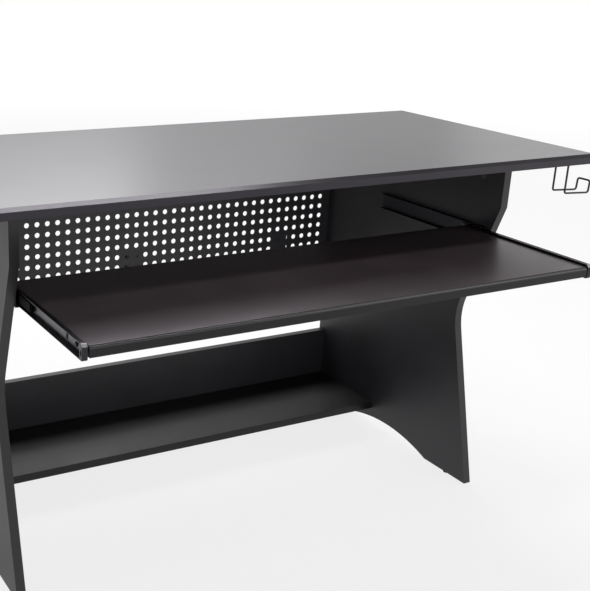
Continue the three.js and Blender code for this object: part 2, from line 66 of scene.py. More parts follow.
mergeGap, flatAngle = 0.002 * mm, 0.4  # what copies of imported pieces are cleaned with
sides = {"left": -1, "right": 1}
ends = ["front", "rear"]
levels = ["upper", "lower"]
xAxis, yAxis, zAxis = Vector((1, 0, 0)), Vector((0, 1, 0)), Vector((0, 0, 1))


# Selecting, making and placing
def deselectAll():
    if bpy.context.object and bpy.context.object.mode != "OBJECT":
        bpy.ops.object.mode_set(mode="OBJECT")
    for other in bpy.context.view_layer.objects:
        other.select_set(False)


def pick(piece):  # the only selected object, and the active one
    deselectAll()
    piece.select_set(True)
    bpy.context.view_layer.objects.active = piece


def editMode(kind):
    bpy.ops.object.mode_set(mode="EDIT")
    bpy.ops.mesh.select_mode(type=kind)


def objectMode():
    bpy.ops.object.mode_set(mode="OBJECT")


def clearPicks(piece):
    for group in (piece.data.vertices, piece.data.edges, piece.data.polygons):
        for part in group:
            part.select = False


def pickFaces(piece, test):  # test is given a face's middle and normal
    pick(piece)
    clearPicks(piece)
    for face in piece.data.polygons:
        face.select = bool(test(face.center, face.normal))
    editMode("FACE")


def pickEdges(piece, test):  # test is given the places of an edge's two ends
    pick(piece)
    clearPicks(piece)
    points = piece.data.vertices
    for edge in piece.data.edges:
        first, second = (points[i].co for i in edge.vertices)
        edge.select = bool(test(first, second))
    editMode("EDGE")


def pickEdgesAt(piece, test):  # test is given a place, and both ends of an edge have to pass it
    pickEdges(piece, lambda first, second: test(first) and test(second))


def placeMesh(piece):  # the object's place goes into its mesh
    pick(piece)
    bpy.ops.object.transform_apply(location=True, rotation=True, scale=True)


def addBox(name, low, high):
    low, high = Vector(low), Vector(high)
    deselectAll()
    bpy.ops.mesh.primitive_cube_add(size=1, location=(low + high) / 2, scale=high - low)
    piece = bpy.context.object
    piece.name = name
    placeMesh(piece)
    return piece


def addRod(name, start, axis, length, diameter, count):
    start, axis = Vector(start), Vector(axis)
    turn = axis.to_track_quat("Z", "Y").to_euler()
    deselectAll()
    bpy.ops.mesh.primitive_cylinder_add(
        vertices=count, radius=diameter / 2, depth=length,
        location=start + axis * length / 2, rotation=turn)
    piece = bpy.context.object
    piece.name = name
    placeMesh(piece)
    return piece


def copyNode(nodeName, pieceName):  # a merged copy of a CAD node's mesh, with whole flat faces
    piece = bpy.data.objects.new(pieceName, frame["nodes"][nodeName].data.copy())
    bpy.context.scene.collection.objects.link(piece)
    piece.data.materials.clear()
    pick(piece)
    editMode("VERT")
    bpy.ops.mesh.select_all(action="SELECT")
    bpy.ops.mesh.remove_doubles(threshold=mergeGap)
    bpy.ops.mesh.dissolve_limited(angle_limit=math.radians(flatAngle))
    objectMode()
    return piece


def placeAlong(point, axis, across=None):  # the move of a part made along +Z to a point and an axis
    across = across or axis.orthogonal().normalized()
    turn = Matrix((across, axis.cross(across), axis)).transposed().to_4x4()
    return Matrix.Translation(point) @ turn


def copyMoved(piece, name, move):  # another of the same, with its own mesh
    copy = piece.copy()
    copy.data = piece.data.copy()
    copy.name = name
    bpy.context.scene.collection.objects.link(copy)
    copy.data.transform(move)
    return copy


def roundPicked(width, segments):  # bevels the edges picked in edit mode
    bpy.ops.mesh.bevel(offset=width, segments=segments, affect="EDGES")
    objectMode()


def smoothFaces(piece, angle=35):
    pick(piece)
    bpy.ops.object.shade_smooth_by_angle(angle=math.radians(angle))


def roundEdges(piece, width, segments, angle=35):
    pick(piece)
    bevel = piece.modifiers.new("rounded edges", "BEVEL")
    bevel.width = width
    bevel.segments = segments
    bevel.limit_method = "ANGLE"
    bevel.angle_limit = math.radians(angle)
    bevel.use_clamp_overlap = True
    bpy.ops.object.modifier_apply(modifier=bevel.name)
    smoothFaces(piece, angle)
    flat = piece.modifiers.new("flat faces", "WEIGHTED_NORMAL")  # so that broad faces shade flat
    flat.mode = "FACE_AREA"
    flat.weight = 100
    flat.keep_sharp = True
    bpy.ops.object.modifier_apply(modifier=flat.name)


def cutWith(piece, cutter):
    pick(piece)
    modifier = piece.modifiers.new("cut", "BOOLEAN")
    modifier.object = cutter
    modifier.operation = "DIFFERENCE"
    modifier.solver = "EXACT"
    bpy.ops.object.modifier_apply(modifier=modifier.name)
    bpy.data.objects.remove(cutter)


def joinPieces(pieces, name):
    deselectAll()
    for piece in pieces:
        piece.select_set(True)
    bpy.context.view_layer.objects.active = pieces[0]
    bpy.ops.object.join()
    pieces[0].name = name
    return pieces[0]


def finishWith(piece, *materials):
    piece.data.materials.clear()
    for material in materials:
        piece.data.materials.append(material)


def slants(normal, tilt):  # a face that looks up and to the front, as steeply as the tilt says
    leastUp, mostUp, leastForward = tilt
    return leastUp < normal.z < mostUp and normal.y < -leastForward


def coverFaces(piece, index, test):  # the faces that pass the test take the piece's second or third finish
    for face in piece.data.polygons:
        if test(face.center, face.normal):
            face.material_index = index


def fit(piece, slot, body, *nodes):  # slot (not used), body and the CAD nodes it stands for
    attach(piece, body)
    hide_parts(*nodes)


# Finishes
def linearColour(hexText):
    shares = [int(hexText[i:i + 2], 16) / 255 for i in (1, 3, 5)]
    return (*[s / 12.92 if s <= 0.04045 else ((s + 0.055) / 1.055) ** 2.4 for s in shares], 1.0)


def addNode(material, kind, settings=None, links=None):
    node = material.node_tree.nodes.new(kind)
    for key, value in (settings or {}).items():
        if isinstance(key, int) or key in node.inputs:
            node.inputs[key].default_value = value
        else:
            setattr(node, key, value)
    for key, source in (links or {}).items():
        material.node_tree.links.new(source, node.inputs[key])
    return node


def startMaterial(name):
    material = bpy.data.materials.new(name)
    material.use_nodes = True
    material.node_tree.nodes.clear()
    coords = addNode(material, "ShaderNodeTexCoord")
    return material, coords.outputs["Object"]


def endMaterial(material, shader):
    addNode(material, "ShaderNodeOutputMaterial", links={"Surface": shader.outputs[0]})
    return material


# Melamine film pressed on chipboard: a hard satin film. The press plate leaves a fine pebble
# grain, which breaks reflections up a little, and the film's colour and gloss vary faintly
# over a hand's width, where it has been wiped. The real grain is about 0.4 mm, and it is
# drawn coarser, so that it shows from a few steps away. The desktop and the tray have a
# glossier film than the panels, and the shelf has a duller one, darkened as painted shade.
def makeMelamine(name, look):
    material, place = startMaterial(name)
    pebble = addNode(material, "ShaderNodeTexVoronoi",
                     {"feature": "SMOOTH_F1", "Scale": 1 / look["grainSize"], "Smoothness": 0.6},
                     {"Vector": place})
    grain = addNode(material, "ShaderNodeTexNoise",
                    {"Scale": 1 / look["grainSize"], "Detail": 3.0, "Roughness": 0.6}, {"Vector": place})
    cloud = addNode(material, "ShaderNodeTexNoise",
                    {"Scale": 1 / look["cloudSize"], "Detail": 2.0, "Roughness": 0.5}, {"Vector": place})
    shade = addNode(material, "ShaderNodeMath", {"operation": "MULTIPLY_ADD", 1: 0.6},
                    {0: grain.outputs["Fac"], 2: cloud.outputs["Fac"]})
    spread = addNode(material, "ShaderNodeMapRange", {"From Min": 0.55, "From Max": 1.05},
                     {"Value": shade.outputs[0]})
    colour = addNode(material, "ShaderNodeMix",
                     {"data_type": "RGBA", 6: linearColour(look["dark"]), 7: linearColour(look["light"])},
                     {0: spread.outputs["Result"]})
    gloss = addNode(material, "ShaderNodeMapRange",
                    {"From Min": 0.3, "From Max": 0.7, "To Min": look["roughness"] - look["wiped"],
                     "To Max": look["roughness"] + look["wiped"]},
                    {"Value": cloud.outputs["Fac"]})
    bump = addNode(material, "ShaderNodeBump",
                   {"Strength": look["grainStrength"], "Distance": look["grainDepth"]},
                   {"Height": pebble.outputs["Distance"]})
    shader = addNode(material, "ShaderNodeBsdfPrincipled",
                     {"IOR": look["ior"], "Specular Tint": linearColour(look["tint"])},
                     {"Base Color": colour.outputs[2], "Roughness": gloss.outputs["Result"],
                      "Normal": bump.outputs["Normal"]})
    return endMaterial(material, shader)


deskTopLook = {
    "dark": "#1c1a1e", "light": "#242226", "tint": "#f9f2ff",
    "roughness": 0.29, "wiped": 0.007, "ior": 1.52,
    "grainSize": 2.6 * mm, "grainStrength": 0.025, "grainDepth": 0.1 * mm, "cloudSize": 90 * mm,
}
# the tray's film is a warmer copy of the desktop's, with its colour lightened as painted light for the
# tray's rear under the desktop
trayLightenedLook = {
    "dark": "#2a2426", "light": "#342c2e", "tint": "#fff0ff",
    "roughness": 0.33, "wiped": 0.01, "ior": 1.52,
    "grainSize": 2.6 * mm, "grainStrength": 0.04, "grainDepth": 0.1 * mm, "cloudSize": 90 * mm,
}
boardLook = {
    "dark": "#232226", "light": "#2e2d32", "tint": "#ffffff",
    "roughness": 0.48, "wiped": 0.03, "ior": 1.48,
    "grainSize": 1.3 * mm, "grainStrength": 0.15, "grainDepth": 0.1 * mm, "cloudSize": 120 * mm,
}
# the shelf's film is the panels' film made darker, as painted shade for its place low under the desk
shelfShadeLook = {
    "dark": "#17161a", "light": "#201f23", "tint": "#ffffff",
    "roughness": 0.52, "wiped": 0.03, "ior": 1.44,
    "grainSize": 1.3 * mm, "grainStrength": 0.15, "grainDepth": 0.1 * mm, "cloudSize": 120 * mm,
}


# Powder coat baked on steel: satin black, with the shallow dimples of orange peel. The same
# pattern, finer, is the spark texture of a mould on black nylon.
def makePowderCoat(name, look):
    material, place = startMaterial(name)
    peel = addNode(material, "ShaderNodeTexNoise",
                   {"Scale": 1 / look["peelSize"], "Detail": 2.0, "Roughness": 0.5}, {"Vector": place})
    colour = addNode(material, "ShaderNodeMix",
                     {"data_type": "RGBA", 6: linearColour(look["dark"]), 7: linearColour(look["light"])},
                     {0: peel.outputs["Fac"]})
    bump = addNode(material, "ShaderNodeBump",
                   {"Strength": look["peelStrength"], "Distance": look["peelDepth"]},
                   {"Height": peel.outputs["Fac"]})
    shader = addNode(material, "ShaderNodeBsdfPrincipled",
                     {"Roughness": look["roughness"], "IOR": look["ior"],
                      "Specular IOR Level": look["shine"]},
                     {"Base Color": colour.outputs[2], "Normal": bump.outputs["Normal"]})
    return endMaterial(material, shader)


coatLook = {
    "dark": "#28262a", "light": "#343236", "roughness": 0.45, "ior": 1.5, "shine": 0.5,
    "peelSize": 1.5 * mm, "peelStrength": 0.3, "peelDepth": 0.08 * mm,
}
nylonLook = {
    "dark": "#0e0e10", "light": "#16161a", "roughness": 0.65, "ior": 1.53, "shine": 0.08,
    "peelSize": 0.9 * mm, "peelStrength": 0.35, "peelDepth": 0.06 * mm,
}


# Rolled steel under a dark or a bright plating: faint lines along the slide from the rolls,
# in colour, in gloss and in relief. On a casting or a small part they run in no one way.
rollGloss = 0.06


def makeRolledSteel(name, look):
    material, place = startMaterial(name)
    stretch = addNode(material, "ShaderNodeMapping", {"Scale": (1.0, look["lineStretch"], 1.0)},
                      {"Vector": place})
    lines = addNode(material, "ShaderNodeTexNoise",
                    {"Scale": 1 / look["lineSize"], "Detail": 3.0, "Roughness": 0.6},
                    {"Vector": stretch.outputs["Vector"]})
    colour = addNode(material, "ShaderNodeMix",
                     {"data_type": "RGBA", 6: linearColour(look["dark"]), 7: linearColour(look["light"])},
                     {0: lines.outputs["Fac"]})
    gloss = addNode(material, "ShaderNodeMapRange",
                    {"From Min": 0.3, "From Max": 0.7, "To Min": look["roughness"] - rollGloss,
                     "To Max": look["roughness"] + rollGloss},
                    {"Value": lines.outputs["Fac"]})
    bump = addNode(material, "ShaderNodeBump", {"Strength": 0.2, "Distance": 0.03 * mm},
                   {"Height": lines.outputs["Fac"]})
    shader = addNode(material, "ShaderNodeBsdfPrincipled", {"Metallic": 1.0},
                     {"Base Color": colour.outputs[2], "Roughness": gloss.outputs["Result"],
                      "Normal": bump.outputs["Normal"]})
    return endMaterial(material, shader)


slideLook = {
    "dark": "#404044", "light": "#545459", "roughness": 0.27,
    "lineSize": 1.2 * mm, "lineStretch": 0.03,
}
# the outer members take a darker copy of the slide steel, as painted shade for their place under the
# desktop
outerShadeLook = {
    "dark": "#37373a", "light": "#3d3d41", "roughness": 0.38,
    "lineSize": 1.2 * mm, "lineStretch": 0.03,
}
# the tops of the inner members' upper flanges take a darker copy of the slide steel, as painted shade
flangeShadeLook = {
    "dark": "#1b1b1d", "light": "#27272a", "roughness": 0.3,
    "lineSize": 1.2 * mm, "lineStretch": 0.03,
}
noseLook = {
    "dark": "#313134", "light": "#3d3d41", "roughness": 0.3,
    "lineSize": 1.4 * mm, "lineStretch": 1.0,
}
trackLook = {
    "dark": "#6f6f72", "light": "#8b8b8e", "roughness": 0.22,
    "lineSize": 0.5 * mm, "lineStretch": 0.01,
}
zincLook = {
    "dark": "#9a9ca1", "light": "#c3c5ca", "roughness": 0.34,
    "lineSize": 0.9 * mm, "lineStretch": 1.0,
}
zamakLook = {
    "dark": "#55565a", "light": "#6e6f73", "roughness": 0.46,
    "lineSize": 1.4 * mm, "lineStretch": 1.0,
}
blackZincLook = {
    "dark": "#242427", "light": "#37373b", "roughness": 0.34,
    "lineSize": 0.9 * mm, "lineStretch": 1.0,
}
nickelLook = {
    "dark": "#aaa7a0", "light": "#cbc8c1", "roughness": 0.26,
    "lineSize": 0.9 * mm, "lineStretch": 1.0,
}


# Beech dowel: pale wood with short darker flecks.
def makeBeech(name, look):
    material, place = startMaterial(name)
    fleck = addNode(material, "ShaderNodeTexNoise",
                    {"Scale": 1 / look["fleckSize"], "Detail": 3.0, "Roughness": 0.7}, {"Vector": place})
    colour = addNode(material, "ShaderNodeMix",
                     {"data_type": "RGBA", 6: linearColour(look["dark"]), 7: linearColour(look["light"])},
                     {0: fleck.outputs["Fac"]})
    shader = addNode(material, "ShaderNodeBsdfPrincipled", {"Roughness": 0.7},
                     {"Base Color": colour.outputs[2]})
    return endMaterial(material, shader)


# ABS edging glued round a board: smoother than the melamine, with the fine lines of its
# extrusion running along the edge. They are 0.3 mm apart on the real band, and drawn coarser.
def makeEdging(name, look):
    material, place = startMaterial(name)
    streak = addNode(material, "ShaderNodeTexNoise",
                     {"Scale": 1 / look["streakSize"], "Detail": 2.0, "Roughness": 0.5}, {"Vector": place})
    colour = addNode(material, "ShaderNodeMix",
                     {"data_type": "RGBA", 6: linearColour(look["dark"]), 7: linearColour(look["light"])},
                     {0: streak.outputs["Fac"]})
    bump = addNode(material, "ShaderNodeBump", {"Strength": 0.12, "Distance": 0.05 * mm},
                   {"Height": streak.outputs["Fac"]})
    shader = addNode(material, "ShaderNodeBsdfPrincipled",
                     {"Roughness": look["roughness"], "IOR": 1.52, "Specular IOR Level": look["shine"]},
                     {"Base Color": colour.outputs[2], "Normal": bump.outputs["Normal"]})
    return endMaterial(material, shader)


edgingLook = {
    "dark": "#171518", "light": "#1f1d21", "roughness": 0.34, "shine": 0.27, "streakSize": 2.5 * mm,
}
nosingLook = {
    "dark": "#1c1a1d", "light": "#252327", "roughness": 0.2, "shine": 0.6, "streakSize": 2.5 * mm,
}
panelEdgingLook = {
    "dark": "#1c1a1d", "light": "#252327", "roughness": 0.42, "shine": 0.5, "streakSize": 2.5 * mm,
}

deskTopMelamine = makeMelamine("black satin melamine", deskTopLook)
trayLightenedMelamine = makeMelamine("black satin melamine, warmer and lightened as painted light", trayLightenedLook)
boardMelamine = makeMelamine("black matt melamine", boardLook)
shelfShadeMelamine = makeMelamine("black matt melamine, darkened as painted shade", shelfShadeLook)
absEdging = makeEdging("black abs edging", edgingLook)
panelEdging = makeEdging("black abs edging, glossier", panelEdgingLook)
nosingProfile = makeEdging("polished abs nosing", nosingLook)
powderCoat = makePowderCoat("black powder coat", coatLook)
blackNylon = makePowderCoat("moulded black nylon", nylonLook)
slideSteel = makeRolledSteel("black plated slide steel", slideLook)
outerShadeSteel = makeRolledSteel("black plated slide steel, shaded", outerShadeLook)
flangeShadeSteel = makeRolledSteel("black plated slide steel, oiled", flangeShadeLook)
noseCasting = makeRolledSteel("black passivated zinc casting", noseLook)
trackSteel = makeRolledSteel("ball track worn bright", trackLook)
zincPlate = makeRolledSteel("bright zinc plate", zincLook)
zamakCast = makeRolledSteel("die cast zinc alloy", zamakLook)
blackZinc = makeRolledSteel("black zinc plate", blackZincLook)
nickelPlate = makeRolledSteel("nickel plate", nickelLook)
beechWood = makeBeech("beech", {"dark": "#b98f5c", "light": "#d6b383", "fleckSize": 1.5 * mm})
print("materials made")

# Boards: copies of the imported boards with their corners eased, faced in melamine and edged
# all round. The desktop is wrapped over its bevel in one film and has no edging. Angles of
# less than sharpFrom, in degrees, are left alone, so the desktop's bevel keeps its width.
boards = {"edgeRadius": 0.5 * mm, "edgeSteps": 2, "sharpFrom": 31, "filmFrom": 0.95,
          "trayNosing": 4.5 * mm, "filmStep": 1.5 * mm, "nosingTilt": (0.3, 0.9, 0.3)}
boardPieces = {  # film, slot, body, and the way the two broad faces look on a board with edging
    "desktop": (deskTopMelamine, "desktop_melamine", "desk", None),
    "tray_board": (trayLightenedMelamine, "desktop_melamine", "tray", zAxis),
    "side_panel_left": (boardMelamine, "board_melamine", "desk", xAxis),
    "side_panel_right": (boardMelamine, "board_melamine", "desk", xAxis),
    "stretcher": (boardMelamine, "board_melamine", "desk", yAxis),
    "lower_shelf": (shelfShadeMelamine, "board_melamine", "desk", zAxis),
}


def shapeTrayFront(board):  # a slanted nosing, with the film ending behind it in a step
    low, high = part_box("tray_board")
    pickEdgesAt(board, lambda spot: abs(spot.y - low.y) < tiny and abs(spot.z - high.z) < tiny)
    roundPicked(boards["trayNosing"], 1)
    cutWith(board, addBox(
        "film_step", (low.x - overrun, low.y - overrun, high.z - boards["filmStep"]),
        (high.x + overrun, low.y + boards["trayNosing"], high.z + overrun)))


for nodeName, (film, slot, body, faceAxis) in boardPieces.items():
    board = copyNode(nodeName, nodeName + "_board")
    if nodeName == "tray_board":
        shapeTrayFront(board)
    roundEdges(board, boards["edgeRadius"], boards["edgeSteps"], boards["sharpFrom"])
    edging = panelEdging if "side_panel" in nodeName else absEdging
    finishWith(board, film, edging, nosingProfile)
    if faceAxis:
        coverFaces(board, 1, lambda middle, normal: abs(normal.dot(faceAxis)) < boards["filmFrom"])
    if nodeName == "tray_board":
        coverFaces(board, 2, lambda middle, normal: slants(normal, boards["nosingTilt"]))
    fit(board, slot, body, nodeName)
print("boards made")

# Perforated back panel: one cell with its hole, repeated in both directions
backPanel = {"pitch": 25 * mm, "hole": 12 * mm, "holeSides": 16, "ringOut": 1.6,
             "columns": 41, "rows": 13, "thickness": 1.5 * mm}


def makeBackPanel(size):
    low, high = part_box("perforated_panel")
    half = size["pitch"] / 2
    firstX = -(size["columns"] - 1) / 2 * size["pitch"]
    middleZ = (low.z + high.z) / 2
    firstZ = middleZ - (size["rows"] - 1) / 2 * size["pitch"]
    deselectAll()
    bpy.ops.mesh.primitive_circle_add(
        vertices=size["holeSides"], radius=size["hole"] / 2, fill_type="NOTHING",
        location=(firstX, low.y, firstZ), rotation=(math.radians(90), 0, 0))
    panel = bpy.context.object
    panel.name = "perforated_sheet"
    placeMesh(panel)
    editMode("EDGE")
    bpy.ops.mesh.select_all(action="SELECT")
    bpy.ops.mesh.extrude_edges_move()
    spread = half * size["ringOut"] / (size["hole"] / 2)
    bpy.ops.transform.resize(value=(spread, 1, spread), center_override=(firstX, low.y, firstZ))
    for normal in [(1, 0, 0), (-1, 0, 0), (0, 0, 1), (0, 0, -1)]:
        bpy.ops.mesh.select_all(action="SELECT")
        planePoint = Vector((firstX, low.y, firstZ)) + Vector(normal) * half
        bpy.ops.mesh.bisect(plane_co=planePoint, plane_no=normal, clear_outer=True, threshold=1e-7)
    objectMode()
    for axis, count in [(0, size["columns"]), (2, size["rows"])]:
        repeat = panel.modifiers.new("repeat", "ARRAY")
        repeat.count = count
        repeat.use_relative_offset = False
        repeat.use_constant_offset = True
        step = [0, 0, 0]
        step[axis] = size["pitch"]
        repeat.constant_offset_displace = step
        repeat.use_merge_vertices = True
        repeat.merge_threshold = tiny
        bpy.ops.object.modifier_apply(modifier=repeat.name)
    # plain margins, from the outermost cells to the edges of the sheet
    borders = [
        (0, firstX - half, low.x), (0, -firstX + half, high.x),
        (2, firstZ - half, low.z), (2, 2 * middleZ - firstZ + half, high.z),
    ]
    for axis, border, edge in borders:
        pickEdgesAt(panel, lambda spot: abs(spot[axis] - border) < tiny)
        step = [0, 0, 0]
        step[axis] = edge - border
        bpy.ops.mesh.extrude_edges_move(TRANSFORM_OT_translate={"value": step})
        objectMode()
    editMode("FACE")
    bpy.ops.mesh.select_all(action="SELECT")
    bpy.ops.mesh.remove_doubles(threshold=tiny)
    bpy.ops.mesh.normals_make_consistent(inside=False)
    objectMode()
    if panel.data.polygons[0].normal.y > 0:
        editMode("FACE")
        bpy.ops.mesh.select_all(action="SELECT")
        bpy.ops.mesh.flip_normals()
        objectMode()
    wall = panel.modifiers.new("sheet thickness", "SOLIDIFY")
    wall.thickness = size["thickness"]
    wall.offset = -1
    bpy.ops.object.modifier_apply(modifier=wall.name)
    smoothFaces(panel)
    return panel


perforatedSheet = makeBackPanel(backPanel)
finishWith(perforatedSheet, powderCoat)
fit(perforatedSheet, "painted_steel", "desk", "perforated_panel")

# Rear plates: the left one has two blind holes, blackened as painted shade, that show dark through the
# sheet
plates = {"edge": 0.4 * mm, "edgeSteps": 2, "rightTrim": 1.5 * mm, "blindHole": 6 * mm,
          "blindDepth": 1.3 * mm, "holeX": -50.5 * mm, "holeHeights": [450.4 * mm, 425.6 * mm]}
for side in sides:
    nodeName = "rear_plate_" + side
    low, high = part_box(nodeName)
    plate = copyNode(nodeName, nodeName + "_part")
    if side == "left":
        for height in plates["holeHeights"]:
            start = (plates["holeX"], low.y - overrun, height)
            depth = overrun + plates["blindDepth"]
            cutWith(plate, addRod("blind_hole", start, yAxis, depth, plates["blindHole"], holeSides))
    else:
        pickFaces(plate, lambda middle, normal: middle.x > high.x - near)
        bpy.ops.transform.translate(value=(-plates["rightTrim"], 0, 0))
        objectMode()
    roundEdges(plate, plates["edge"], plates["edgeSteps"])
    finishWith(plate, powderCoat, blackNylon)
    # the blind holes' faces take black nylon, as painted shade that shows through the sheet
    coverFaces(plate, 1, lambda middle, normal: any(
        math.hypot(middle.x - plates["holeX"], middle.z - height) < plates["blindHole"] / 2 + near
        for height in plates["holeHeights"]) and middle.y > low.y + near)
    fit(plate, "painted_steel", "desk", nodeName)
print("back panel made")

# Headphone hook: one wire, drawn as a path through its corners, bent at them and given its
# thickness
hook = {"wire": 4.3 * mm, "underside": 0.87, "bend": 5 * mm, "bendSteps": 7, "wireSides": 4,
        "smooth": 50, "legGap": 33 * mm, "reach": 71 * mm, "fall": 4 * mm, "lipRise": 26 * mm}


def makeHook(size):
    low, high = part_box("headphone_hook")
    half = size["wire"] / 2
    legX = low.x + half
    tipX = high.x - half
    rearY = (low.y + high.y + size["legGap"]) / 2
    frontY = rearY - size["legGap"]
    lowZ = low.z + half * size["underside"]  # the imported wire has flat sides, one of them below
    barZ = lowZ + size["fall"]
    lipX = legX + size["reach"]
    tipZ = lowZ + size["lipRise"]
    corners = [
        (legX, rearY, high.z), (legX, rearY, barZ), (lipX, rearY, lowZ), (tipX, rearY, tipZ),
        (tipX, frontY, tipZ), (lipX, frontY, lowZ), (legX, frontY, barZ), (legX, frontY, high.z),
    ]
    deselectAll()
    bpy.ops.mesh.primitive_plane_add(size=1 * mm, location=corners[0])
    wire = bpy.context.object
    placeMesh(wire)
    editMode("VERT")
    bpy.ops.mesh.select_all(action="SELECT")
    bpy.ops.mesh.merge(type="CENTER")
    for before, after in zip(corners, corners[1:]):
        step = Vector(after) - Vector(before)
        bpy.ops.mesh.extrude_vertices_move(TRANSFORM_OT_translate={"value": step})
    objectMode()
    bends = [Vector(corner) for corner in corners[1:-1]]
    for point in wire.data.vertices:
        point.select = any((point.co - bend).length < 1e-6 for bend in bends)
    editMode("VERT")
    bpy.ops.mesh.bevel(offset=size["bend"], segments=size["bendSteps"], affect="VERTICES")
    objectMode()
    bpy.ops.object.convert(target="CURVE")
    wire.data.bevel_depth = half
    wire.data.bevel_resolution = size["wireSides"]
    wire.data.use_fill_caps = True
    bpy.ops.object.convert(target="MESH")
    wire.name = "headphone_hook_wire"
    smoothFaces(wire, size["smooth"])
    return wire


hookWire = makeHook(hook)
finishWith(hookWire, powderCoat)
fit(hookWire, "painted_steel", "desk", "headphone_hook")
print("hook made")

# Slides: the folded channels, a cast nose at the front of each inner member, its stop, and
# the ball cage between the two members
slides = {"foldRadius": 0.45 * mm, "foldSteps": 3, "track": 1.5 * mm, "trackTop": 0.3 * mm,
          "trackBottom": 1.4 * mm, "flangeTop": 1 * mm, "flangeTilt": 0.5, "noseLap": 1 * mm,
          "stopEdge": 0.8 * mm, "stopSteps": 3}
# the slot in the web of each inner member: its rear wall from the front of the member, its
# floor from the slide's middle, how far each of them moves, and how far off they may lie
webSlot = {"rear": 75.5 * mm, "widen": 4.5 * mm, "rearBand": 1 * mm,
           "bottom": -9 * mm, "lift": 4.5 * mm, "bottomBand": 0.3 * mm, "reach": 8 * mm}
nose = {"length": 11 * mm, "width": 9.3 * mm, "wall": 0.2 * mm, "round": 4 * mm, "roundSteps": 6,
        "slope": 5 * mm, "slopeTilt": (0.4, 0.95, 0.3), "edge": 0.7 * mm, "edgeSteps": 3,
        "hole": 5 * mm, "holeTall": 2.2, "holeBack": 0.45, "holeDrop": 2 * mm,
        "holeDepth": 5 * mm, "holeRun": 8 * mm}
cage = {"steel": 0.6 * mm, "ball": 3 * mm, "ballSides": 20, "ballRings": 12, "ballGap": 20 * mm,
        "ballLine": 7 * mm, "ballRise": 14.5 * mm, "ballOut": 1 * mm, "window": 3.3 * mm,
        "slotLength": 11 * mm, "slotHeight": 17 * mm, "slotWidth": 8 * mm,
        "slotMiddle": 3.5 * mm, "slotCorner": 2.5 * mm, "slotSteps": 5}
innerHalf = 530 * mm  # from the middle of the desk to a side panel
slideZ = sum(spot.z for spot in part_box("slide_inner_left")) / 2


def makeNose(side, low, high):  # closes the front of an inner member, with an oval hole in its outer side
    outside = max(abs(low.x), abs(high.x)) + nose["wall"]
    span = sorted([sides[side] * (outside - nose["width"]), sides[side] * outside])
    front, rear = low.y - nose["wall"], low.y + nose["length"]
    bottom, top = low.z - nose["wall"], high.z + nose["wall"]
    block = addBox("slide_nose", (span[0], front, bottom), (span[1], rear, top))
    for level, width, segments in [(bottom, nose["round"], nose["roundSteps"]), (top, nose["slope"], 1)]:
        pickEdgesAt(block, lambda spot: abs(spot.z - level) < tiny and abs(spot.y - front) < tiny)
        roundPicked(width, segments)
    roundEdges(block, nose["edge"], nose["edgeSteps"])
    holeY = low.y + nose["length"] * nose["holeBack"]
    holeZ = slideZ - nose["holeDrop"]
    start = (sides[side] * (outside - nose["holeDepth"]), holeY, holeZ)
    hole = addRod("nose_hole", start, xAxis * sides[side], nose["holeRun"], nose["hole"], holeSides)
    editMode("VERT")
    bpy.ops.mesh.select_all(action="SELECT")
    bpy.ops.transform.resize(value=(1, 1, nose["holeTall"]), center_override=(0, holeY, holeZ))
    objectMode()
    cutWith(block, hole)
    smoothFaces(block)
    return block


def widenWebSlot(channel, low):  # moves the slot's rear wall back and its floor up
    slotY = low.y + webSlot["rear"]
    slotZ = slideZ + webSlot["bottom"]
    pickFaces(channel, lambda middle, normal: (
        abs(normal.y) > facing and abs(middle.y - slotY) < webSlot["rearBand"]))
    bpy.ops.transform.translate(value=(0, webSlot["widen"], 0))
    objectMode()
    pickFaces(channel, lambda middle, normal: (
        normal.z > facing and abs(middle.y - slotY) < webSlot["reach"]
        and abs(middle.z - slotZ) < webSlot["bottomBand"]))
    bpy.ops.transform.translate(value=(0, 0, webSlot["lift"]))
    objectMode()


def makeInnerMember(side):
    node = "slide_inner_" + side
    low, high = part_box(node)
    channel = copyNode(node, node + "_channel")
    editMode("FACE")
    bpy.ops.mesh.select_all(action="SELECT")
    cutPlace = (0, low.y + nose["length"] - slides["noseLap"], 0)
    bpy.ops.mesh.bisect(plane_co=cutPlace, plane_no=(0, -1, 0), clear_outer=True, use_fill=True)
    objectMode()
    widenWebSlot(channel, low)
    roundEdges(channel, slides["foldRadius"], slides["foldSteps"])
    finishWith(channel, slideSteel, trackSteel, flangeShadeSteel)
    trackX = innerHalf - cage["ballLine"]
    rise = (high.z - low.z) / 2
    coverFaces(channel, 1, lambda middle, normal: (
        abs(abs(middle.x) - trackX) < slides["track"] and abs(normal.z) > facing
        and slides["trackTop"] < rise - abs(middle.z - slideZ) < slides["trackBottom"]))
    # the tops of the upper flanges are darkened, as painted shade
    coverFaces(channel, 2, lambda middle, normal: (
        normal.z > slides["flangeTilt"] and middle.z > high.z - slides["flangeTop"]))
    block = makeNose(side, low, high)
    finishWith(block, noseCasting, zincPlate)
    # the nose's sloped top is bright zinc, as a painted highlight
    coverFaces(block, 1, lambda middle, normal: slants(normal, nose["slopeTilt"]))
    return joinPieces([channel, block], node + "_channel")


